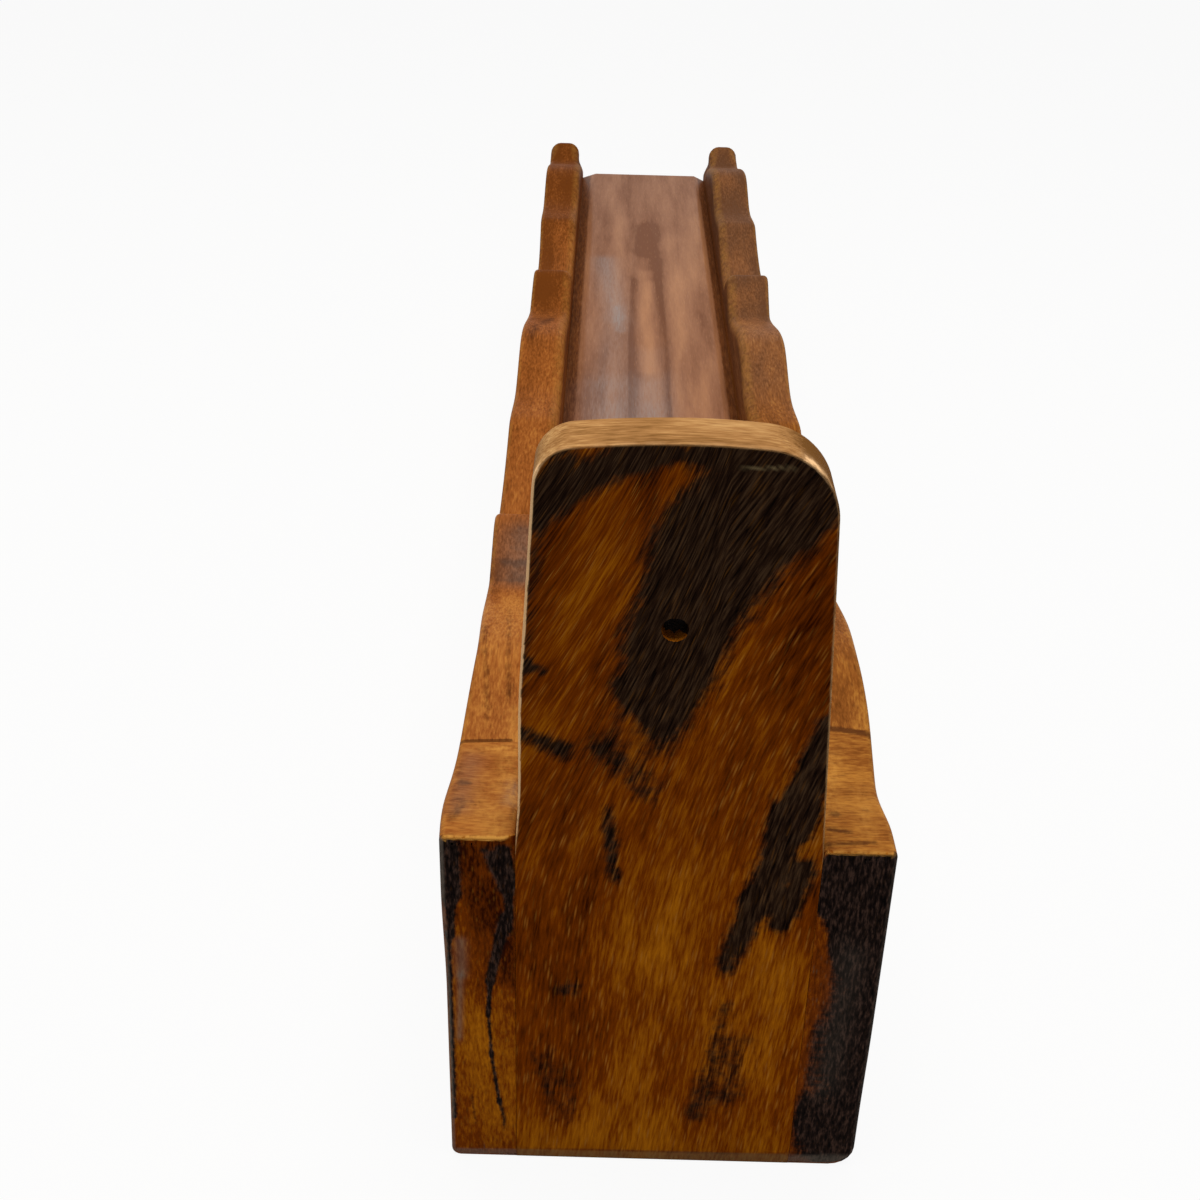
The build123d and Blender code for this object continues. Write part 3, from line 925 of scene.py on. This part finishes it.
def add(tree, kind, inputs=None, output=0, stops=(), **settings):
    """Adds a node to the tree and gives one of its outputs. Inputs are its sockets, by name or number, each
    a value, a hex colour or an output to link. Settings are its properties, and stops are the places and
    colours of a colour ramp."""
    node = tree.nodes.new("ShaderNode" + kind)
    for key, value in settings.items():
        setattr(node, key, value)
    for key, value in (inputs or {}).items():
        if isinstance(value, bpy.types.NodeSocket):
            tree.links.new(value, node.inputs[key])
        else:
            node.inputs[key].default_value = srgb(value) if isinstance(value, str) else value
    for k, (place, code) in enumerate(stops):
        element = node.color_ramp.elements[k] if k < 2 else node.color_ramp.elements.new(place)
        element.position = place
        element.color = srgb(code)
    return node.outputs[output] if node.outputs else node


# Sockets of the Mix node: factor, the two numbers or colours that it mixes, and the mixed colour
FACTOR, FIRST_NUMBER, SECOND_NUMBER, FIRST, SECOND, MIXED = 0, 2, 3, 6, 7, 2
# Outputs of the Attribute node
VECTOR, VALUE = 1, 2

# How the patterns of the wood work together: the fibre's share in the streaks, and the streaks' usual
# range, the weight of each pattern in the ragged edge of the heartwood and of the painted shade that shares
# its colours, and the span over which that edge darkens, on carved and on plain pieces, how much the pores
# show on the ground, on heartwood and on the tops, how deep they are cut beside the fibre, how far the
# roughness swings about the gloss value, over how many millimetres to each side the edge of a top is
# softened, and how the grain of a plain piece is turned
FIBRE_SHARE = 0.5
STREAK_RANGE = (0.3, 0.7)
HEART_WEIGHTS = {"figure": 1.4, "fibre": 0.8, "ragged": 1.2}
HEART_SPAN = (0.2, 0.85)
PLAIN_HEART_SPAN = (0.42, 0.3)
PORE_COVER = (0.65, 0.15)
TOP_PORE_COVER = 0.45
PORE_DEPTH = 1.2
GLOSS_SWING = (0.14, -0.06)
TOP_EDGE_HALF = 0.1
ALONG_HOLDER = (np.pi / 2, 0.0, 0.0)
ACROSS_HOLDER = (0.0, np.pi / 2, 0.0)


def new_material(name):
    """Empty node material and its tree."""
    material = bpy.data.materials.new(name)
    material.use_nodes = True
    material.node_tree.nodes.clear()
    return material, material.node_tree


def sheesham(name, face, heart_and_shade, pore, gloss, shine, tops=(), line=None, jag=0.0, top_marks=0.75, mottle=1.0,
             dark_cover=1.0, figure_length=50.0, fine=1.0, film_and_sheen_tint=None, wear_and_highlight_tint=None, turned=ALONG_HOLDER):
    """Lacquered sheesham. To the eye: orange-brown ground with wavy darker figure, near-black heartwood,
    whose colours also paint the shade in the stick hole and on the tray's bevels, short pore streaks that
    follow the grain, and paler wood where edges are rubbed through or carry a painted highlight. A carved
    piece, which has a tint for its film and painted sheen, carries its own grain coordinates and marks. A
    plain one takes its grain from object coordinates, turned along it. A piece with tops shows their paler
    colours from a jagged edge on, with marks as lines."""
    material, tree = new_material(name)
    carved = film_and_sheen_tint is not None
    if carved:
        place = add(tree, "Attribute", output=VECTOR, attribute_name="grain")
        mark, tone, wear_and_highlight, film_and_sheen = (
            add(tree, "Attribute", output=VALUE, attribute_name=key)
            for key in ("heart_and_shade", "tone", "wear_and_highlight", "film_and_sheen")
        )
    else:
        coords = add(tree, "TexCoord", output="Object")
        place = add(tree, "Mapping", {"Vector": coords, "Rotation": turned, "Scale": [1.0 / MM] * 3})

    # Sizes across and along the grain in millimetres. The real fibres and pores are finer than the render
    # can show, so both are drawn about twice as coarse.
    sizes = {"figure": (5.0, figure_length), "fibre": (0.3, 3.0), "ragged": (1.4, 1.4), "pore": (0.4, 3.2)}
    scaled = {
        key: add(tree, "Mapping", {"Vector": place, "Scale": (1.0 / across, 1.0 / across, 1.0 / along)})
        for key, (across, along) in sizes.items()
    }
    patterns = {
        key: add(tree, "TexNoise", {"Vector": scaled[key], "Scale": 1.0, "Detail": 4.0, "Roughness": 0.6})
        for key in HEART_WEIGHTS
    }
    figure, fibre, ragged = patterns.values()
    cells = add(tree, "TexVoronoi", {"Vector": scaled["pore"], "Scale": 1.0}).node
    chance = add(tree, "SeparateColor", {"Color": cells.outputs["Color"]})
    chance = add(tree, "MapRange", {"Value": chance, "From Min": 0.1, "From Max": 1.0})
    spot = add(tree, "MapRange", {"Value": cells.outputs["Distance"], "From Min": 0.4, "From Max": 0.1})
    pores = add(tree, "Math", {0: spot, 1: chance}, operation="MULTIPLY")

    streaks = add(tree, "Mix", {FACTOR: FIBRE_SHARE * fine, FIRST_NUMBER: figure, SECOND_NUMBER: fibre})
    if carved:
        streaks = add(tree, "Math", {0: streaks, 1: tone})
        level = mark
        for key, weight in HEART_WEIGHTS.items():
            inputs = {0: patterns[key], 1: -weight * mottle, 2: level}
            level = add(tree, "Math", inputs, operation="MULTIPLY_ADD")
        middle = -mottle * sum(HEART_WEIGHTS.values()) / 2
        low, high = (middle + rise for rise in HEART_SPAN)
        reach = {"Value": level, "From Min": low, "From Max": high, "To Max": dark_cover}
    else:
        low, high = PLAIN_HEART_SPAN
        reach = {"Value": figure, "From Min": low, "From Max": high}
    dark = add(tree, "MapRange", reach, interpolation_type="SMOOTHSTEP")
    colour = add(tree, "ValToRGB", {"Fac": streaks}, stops=face)
    heart_and_shade_colour = add(tree, "ValToRGB", {"Fac": fibre}, stops=heart_and_shade)
    colour = add(tree, "Mix", {FACTOR: dark, FIRST: colour, SECOND: heart_and_shade_colour}, MIXED, data_type="RGBA")
    on_ground, on_heart = (cover * fine for cover in PORE_COVER)
    shown = add(tree, "MapRange", {"Value": dark, "To Min": on_ground, "To Max": on_heart})
    shown = add(tree, "Math", {0: pores, 1: shown}, operation="MULTIPLY")
    colour = add(tree, "Mix", {FACTOR: shown, FIRST: colour, SECOND: pore}, MIXED, data_type="RGBA")

    if tops:
        end = add(tree, "Attribute", output=VALUE, attribute_name="end")
        edge = add(tree, "Math", {0: ragged, 1: -2.0 * jag, 2: end}, operation="MULTIPLY_ADD")
        span = {"Value": edge, "From Min": TOP_EDGE_HALF - jag, "From Max": -TOP_EDGE_HALF - jag}
        is_top = add(tree, "MapRange", span)
        top_colour = add(tree, "ValToRGB", {"Fac": streaks}, stops=tops)
        for pattern, share in ((dark, top_marks), (pores, TOP_PORE_COVER * fine)):
            amount = add(tree, "Math", {0: pattern, 1: share}, operation="MULTIPLY")
            layer = {FACTOR: amount, FIRST: top_colour, SECOND: line}
            top_colour = add(tree, "Mix", layer, MIXED, data_type="RGBA")
        layer = {FACTOR: is_top, FIRST: colour, SECOND: top_colour}
        colour = add(tree, "Mix", layer, MIXED, data_type="RGBA")
    if carved:
        chips = add(tree, "MapRange", {"Value": ragged, "From Min": 0.38, "From Max": 0.62, "To Min": 0.15})
        for amount, pattern, tint in ((film_and_sheen, fibre, film_and_sheen_tint), (wear_and_highlight, chips, wear_and_highlight_tint)):
            amount = add(tree, "Math", {0: amount, 1: pattern}, operation="MULTIPLY", use_clamp=True)
            layer = {FACTOR: amount, FIRST: colour, SECOND: tint}
            colour = add(tree, "Mix", layer, MIXED, data_type="RGBA")

    low, high = STREAK_RANGE
    rough, smooth = (gloss + swing for swing in GLOSS_SWING)
    satin = {"Value": streaks, "From Min": low, "From Max": high, "To Min": rough, "To Max": smooth}
    grooves = add(tree, "Math", {0: pores, 1: -PORE_DEPTH, 2: fibre}, operation="MULTIPLY_ADD")
    surface = {
        "Base Color": colour,
        "Roughness": add(tree, "MapRange", satin),
        "Specular IOR Level": shine,
        "Normal": add(tree, "Bump", {"Height": grooves, "Strength": 0.35, "Distance": 0.06 * MM}),
    }
    add(tree, "OutputMaterial", {"Surface": add(tree, "BsdfPrincipled", surface)})
    return material


def drawn_steel(name):
    """Bright drawn wire: grey metal with faint blotches of tarnish and soft reflections."""
    blotch = 0.4 * MM
    material, tree = new_material(name)
    coords = add(tree, "TexCoord", output="Object")
    tarnish = add(tree, "TexNoise", {"Vector": coords, "Scale": 1.0 / blotch, "Detail": 3.0})
    surface = {
        "Base Color": add(tree, "ValToRGB", {"Fac": tarnish}, stops=[(0.3, "#6d6a66"), (0.7, "#b4b2ae")]),
        "Metallic": 1.0,
        "Roughness": add(tree, "MapRange", {"Value": tarnish, "To Min": 0.5, "To Max": 0.28}),
    }
    add(tree, "OutputMaterial", {"Surface": add(tree, "BsdfPrincipled", surface)})
    return material


# Colours of the wood, as stops of colour ramps: ground, heartwood, and heartwood on the boards' ends. The
# plate's top, the boards' tops, the tray and the plain pieces have their own. The heartwood's colours also
# paint the shade inside the stick hole, and the tray's dark colours paint the shade on its bevels.
FACE = [(0.3, "#340f00"), (0.5, "#7e3902"), (0.7, "#bc710f")]
HEART = [(0.34, "#0e0705"), (0.5, "#2b1b12"), (0.66, "#493524")]
END_HEART = [(0.34, "#080505"), (0.5, "#201613"), (0.66, "#4a362e")]
PLATE_TOP = [(0.34, "#724d25"), (0.5, "#a87a49"), (0.66, "#cfa36a")]
LEFT_TOP = [(0.34, "#6a3812"), (0.5, "#955524"), (0.66, "#b87836")]
RIGHT_TOP = [(0.34, "#623610"), (0.5, "#8a5120"), (0.66, "#b47832")]
TRAY_FACE = [(0.3, "#744930"), (0.5, "#926243"), (0.7, "#ad7850")]
TRAY_BEVEL_SHADE = [(0.34, "#3a1804"), (0.5, "#5a2e10"), (0.66, "#744420")]
PLAIN_FACE = [(0.34, "#4a240e"), (0.5, "#7c461e"), (0.66, "#9a6230")]

plate_wood = sheesham(
    "lacquered_sheesham_plate", FACE, HEART, "#b87830", gloss=0.42, shine=0.002, tops=PLATE_TOP,
    line="#6a4424", jag=0.06, top_marks=0.1, mottle=0.75, figure_length=20.0, film_and_sheen_tint="#7a6a4c",
    wear_and_highlight_tint="#ffd09a",
)
left_wood, right_wood = (
    sheesham(
        name, FACE, END_HEART, pore, gloss=0.40, shine=0.008, tops=tops, line=line, jag=1.2, mottle=0.6,
        film_and_sheen_tint="#7c7268", wear_and_highlight_tint="#d69a48",
    )
    for name, pore, tops, line in (
        ("lacquered_sheesham_left_board", "#7d4c16", LEFT_TOP, "#4a260e"),
        ("lacquered_sheesham_right_board", "#6c4c34", RIGHT_TOP, "#4a2814"),
    )
)
# The tray's film tint is the colour of its painted sheen, and its dark colours paint the shade on its bevels
tray_wood = sheesham(
    "lacquered_sheesham_tray", TRAY_FACE, TRAY_BEVEL_SHADE, "#b98a64", gloss=0.34, shine=0.04, mottle=0.25,
    dark_cover=0.85, fine=0.4, film_and_sheen_tint="#928a88", wear_and_highlight_tint="#c8a080",
)
base_wood, tail_wood = (
    sheesham(name, PLAIN_FACE, HEART, "#8a5c34", gloss=0.5, shine=0.02, turned=turned)
    for name, turned in (("sanded_sheesham_base", ALONG_HOLDER), ("sanded_sheesham_tail", ACROSS_HOLDER))
)
pin_steel = drawn_steel("drawn_steel_pins")

left_board = side_board("left_board_sanded", -1.0, LEFT_SHAPE, LEFT_MARKS)
right_board = side_board("right_board_sanded", 1.0, RIGHT_SHAPE, RIGHT_MARKS)
plate = stick_plate("stick_plate_sanded", PLATE_MARKS)
tray = tray_panel("tray_floor_fluted", TRAY_MARKS)
pieces = [
    (left_board, "left_side_board", "board_wood", left_wood),
    (right_board, "right_side_board", "board_wood", right_wood),
    (plate, "stick_plate", "plate_wood", plate_wood),
    (tray, "tray_floor", "tray_wood", tray_wood),
]
for piece, node, slot, material in pieces:
    piece.data.materials.append(material)
    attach(piece, "root")
    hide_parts(node)

solids = {"tail_board": tail_wood, "base_panel": base_wood, "plate_pins": pin_steel, "tail_pins": pin_steel}
for node, material in solids.items():
    for slot in frame["nodes"][node].material_slots:
        slot.material = material


def background_rays(tree):
    """1 for rays that look at the background, from the camera, off a gloss or through glass, else 0."""
    path = add(tree, "LightPath").node.outputs
    seen = path["Is Camera Ray"]
    for other in ("Is Glossy Ray", "Is Transmission Ray"):
        seen = add(tree, "Math", {0: seen, 1: path[other]}, operation="MAXIMUM")
    return seen


# Studio: white paper floor that keeps a trace of the shadow, white surroundings that light at a plain level
floor_half = 4.0
paper_white = 0.93
world_light = 0.22
corners = [(x * floor_half, y * floor_half, 0.0) for x, y in ((-1, -1), (1, -1), (1, 1), (-1, 1))]
floor_mesh = bpy.data.meshes.new("studio_floor")
floor_mesh.from_pydata(corners, [], [(0, 1, 2, 3)])
floor = bpy.data.objects.new("studio_floor", floor_mesh)
bpy.context.scene.collection.objects.link(floor)
paper, tree = new_material("white_paper")
lit = add(tree, "BsdfDiffuse", {"Color": "#dededc"})
white = add(tree, "Emission", {"Color": "#ffffff", "Strength": 1.0})
share = add(tree, "Math", {0: background_rays(tree), 1: paper_white}, operation="MULTIPLY")
add(tree, "OutputMaterial", {"Surface": add(tree, "MixShader", {0: share, 1: lit, 2: white})})
floor_mesh.materials.append(paper)

world = bpy.data.worlds.new("studio")
world.use_nodes = True
tree = world.node_tree
tree.nodes.clear()
strength = add(tree, "MapRange", {"Value": background_rays(tree), "To Min": world_light, "To Max": 1.0})
sky = add(tree, "Background", {"Color": "#ffffff", "Strength": strength})
add(tree, "OutputWorld", {"Surface": sky})
bpy.context.scene.world = world

# Soft box above the front half of the holder, in metres and watts, facing straight down
soft_box = bpy.data.lights.new("overhead", "AREA")
soft_box.size = 0.40
soft_box.energy = 3.2
soft_box.color = srgb("#fffaf4")[:3]
overhead = bpy.data.objects.new("overhead", soft_box)
overhead.location = (0.0, -0.10, 0.60)
bpy.context.scene.collection.objects.link(overhead)

# Camera as fitted to the holder's outline in the photograph, in metres, degrees and pixels
camera_place = (-0.00835, -0.2942, 0.1650)
pitch, yaw, roll = np.radians((30.284, -0.05, -1.511))
focal_pixels, image_pixels, sensor_mm = 1618.9, 1200.0, 36.0
forward = np.array([np.sin(yaw) * np.cos(pitch), np.cos(yaw) * np.cos(pitch), -np.sin(pitch)])
level = np.array([np.cos(yaw), -np.sin(yaw), 0.0])
drop = np.cross(forward, level)
right = np.cos(roll) * level + np.sin(roll) * drop
down = np.cos(roll) * drop - np.sin(roll) * level
axes = np.column_stack([right, -down, -forward])
lens = bpy.data.cameras.new("camera")
lens.sensor_width = sensor_mm
lens.lens = focal_pixels / image_pixels * sensor_mm
lens.clip_start = 0.01
camera = bpy.data.objects.new("camera", lens)
camera.matrix_world = Matrix.Translation(camera_place) @ Matrix(axes.tolist()).to_4x4()
bpy.context.scene.collection.objects.link(camera)
bpy.context.scene.camera = camera
bpy.context.scene.view_settings.view_transform = "Standard"
